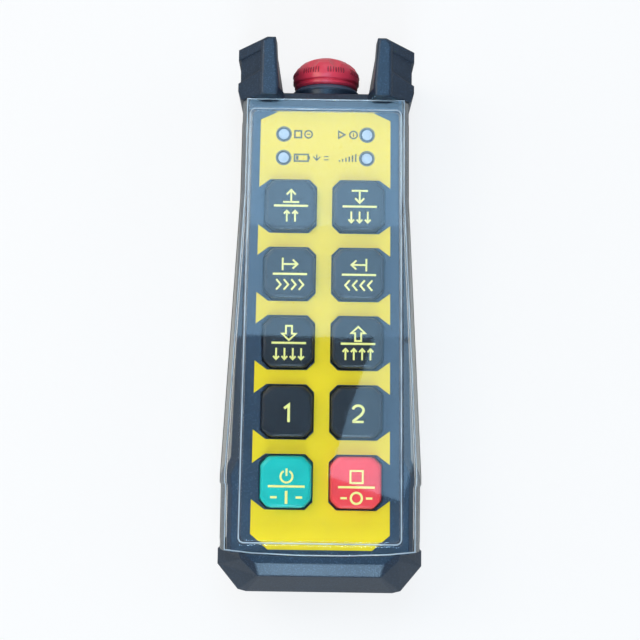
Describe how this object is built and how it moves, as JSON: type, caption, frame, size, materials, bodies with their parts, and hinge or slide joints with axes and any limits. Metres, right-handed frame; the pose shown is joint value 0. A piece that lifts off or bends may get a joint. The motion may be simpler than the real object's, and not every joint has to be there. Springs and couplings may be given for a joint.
{
  "type": "crane radio remote control",
  "caption": "Handheld radio transmitter for a crane: chamfered push keys on a face panel, mushroom stop button between two guard ears, clear protective sleeve over the grip.",
  "frame": {"origin": "middle of the plan outline, on the plane that the back rests on", "axes": "+X to the right as seen from the front, +Y along the handset to the stop button, +Z out of the face"},
  "size_m": [0.0688, 0.186, 0.044],
  "materials": {
    "housing_front": "fine moulded grain",
    "housing_rear": "fine moulded grain",
    "seal": "matte",
    "steel": "plain",
    "brass": "plain",
    "label": "printed film",
    "lens": "clear moulded",
    "mat": "matte",
    "board": "solder resist",
    "switch": "plain",
    "led": "plain",
    "chip": "plain",
    "module": "solder resist",
    "socket": "plain",
    "stop_red": "satin moulded",
    "dark_plastic": "plain",
    "cell": "wrapped",
    "key_black": "satin moulded",
    "key_green": "satin moulded",
    "key_red": "satin moulded",
    "sleeve": "clear moulded sleeve"
  },
  "bodies": {
    "housing": {"front_housing": "housing_front", "rear_housing": "housing_rear", "housing_gasket": "seal", "housing_screws": "steel", "screw_inserts": "brass", "face_label": "label", "indicator_lenses": "lens", "keypad_mat": "mat", "circuit_board": "board", "board_screws": "steel", "key_switches": "switch", "indicator_leds": "led", "board_chips": "chip", "rf_module": "module", "rf_shield": "steel", "antenna": "seal", "lead_sockets": "socket", "stop_collar": "dark_plastic", "stop_seal": "seal", "stop_nut": "steel", "stop_contact_block": "dark_plastic", "stop_fixed_contacts": "brass", "battery_cell_left": "cell", "battery_cell_right": "cell", "battery_plates": "steel", "battery_springs": "steel", "battery_cover": "housing_rear", "battery_cover_gasket": "seal", "battery_cover_screws": "steel", "stop_spring": "steel", "protective_sleeve": "sleeve"},
    "stop_slider": {"stop_carrier": "socket", "stop_contact_bridge": "brass"},
    "stop_head": {"stop_cap": "stop_red", "stop_stem": "dark_plastic"},
    "key_row1_left": {"key_row1_left": "key_black"},
    "key_row1_right": {"key_row1_right": "key_black"},
    "key_row2_left": {"key_row2_left": "key_black"},
    "key_row2_right": {"key_row2_right": "key_black"},
    "key_row3_left": {"key_row3_left": "key_black"},
    "key_row3_right": {"key_row3_right": "key_black"},
    "key_row4_left": {"key_row4_left": "key_black"},
    "key_row4_right": {"key_row4_right": "key_black"},
    "key_row5_left": {"key_row5_left": "key_green"},
    "key_row5_right": {"key_row5_right": "key_red"}
  },
  "joints": [
    {"name": "key_row1_left_press", "type": "slide", "parent": "housing", "child": "key_row1_left", "axis": [0, 0, -1], "range_m": [0, 0.0012], "stiffness_N_per_m": 1200, "springref_m": -0.0012},
    {"name": "key_row1_right_press", "type": "slide", "parent": "housing", "child": "key_row1_right", "axis": [0, 0, -1], "range_m": [0, 0.0012], "stiffness_N_per_m": 1200, "springref_m": -0.0012},
    {"name": "key_row2_left_press", "type": "slide", "parent": "housing", "child": "key_row2_left", "axis": [0, 0, -1], "range_m": [0, 0.0012], "stiffness_N_per_m": 1200, "springref_m": -0.0012},
    {"name": "key_row2_right_press", "type": "slide", "parent": "housing", "child": "key_row2_right", "axis": [0, 0, -1], "range_m": [0, 0.0012], "stiffness_N_per_m": 1200, "springref_m": -0.0012},
    {"name": "key_row3_left_press", "type": "slide", "parent": "housing", "child": "key_row3_left", "axis": [0, 0, -1], "range_m": [0, 0.0012], "stiffness_N_per_m": 1200, "springref_m": -0.0012},
    {"name": "key_row3_right_press", "type": "slide", "parent": "housing", "child": "key_row3_right", "axis": [0, 0, -1], "range_m": [0, 0.0012], "stiffness_N_per_m": 1200, "springref_m": -0.0012},
    {"name": "key_row4_left_press", "type": "slide", "parent": "housing", "child": "key_row4_left", "axis": [0, 0, -1], "range_m": [0, 0.0012], "stiffness_N_per_m": 1200, "springref_m": -0.0012},
    {"name": "key_row4_right_press", "type": "slide", "parent": "housing", "child": "key_row4_right", "axis": [0, 0, -1], "range_m": [0, 0.0012], "stiffness_N_per_m": 1200, "springref_m": -0.0012},
    {"name": "key_row5_left_press", "type": "slide", "parent": "housing", "child": "key_row5_left", "axis": [0, 0, -1], "range_m": [0, 0.0012], "stiffness_N_per_m": 1200, "springref_m": -0.0012},
    {"name": "key_row5_right_press", "type": "slide", "parent": "housing", "child": "key_row5_right", "axis": [0, 0, -1], "range_m": [0, 0.0012], "stiffness_N_per_m": 1200, "springref_m": -0.0012},
    {"name": "stop_release", "type": "slide", "parent": "housing", "child": "stop_slider", "axis": [0, 1, 0], "range_m": [0, 0.004], "deforming": ["stop_spring"]},
    {"name": "stop_twist", "type": "hinge", "parent": "stop_slider", "child": "stop_head", "pos_m": [0, 0.07, 0.02], "axis": [0, 1, 0], "range_deg": [0, 45]}
  ]
}
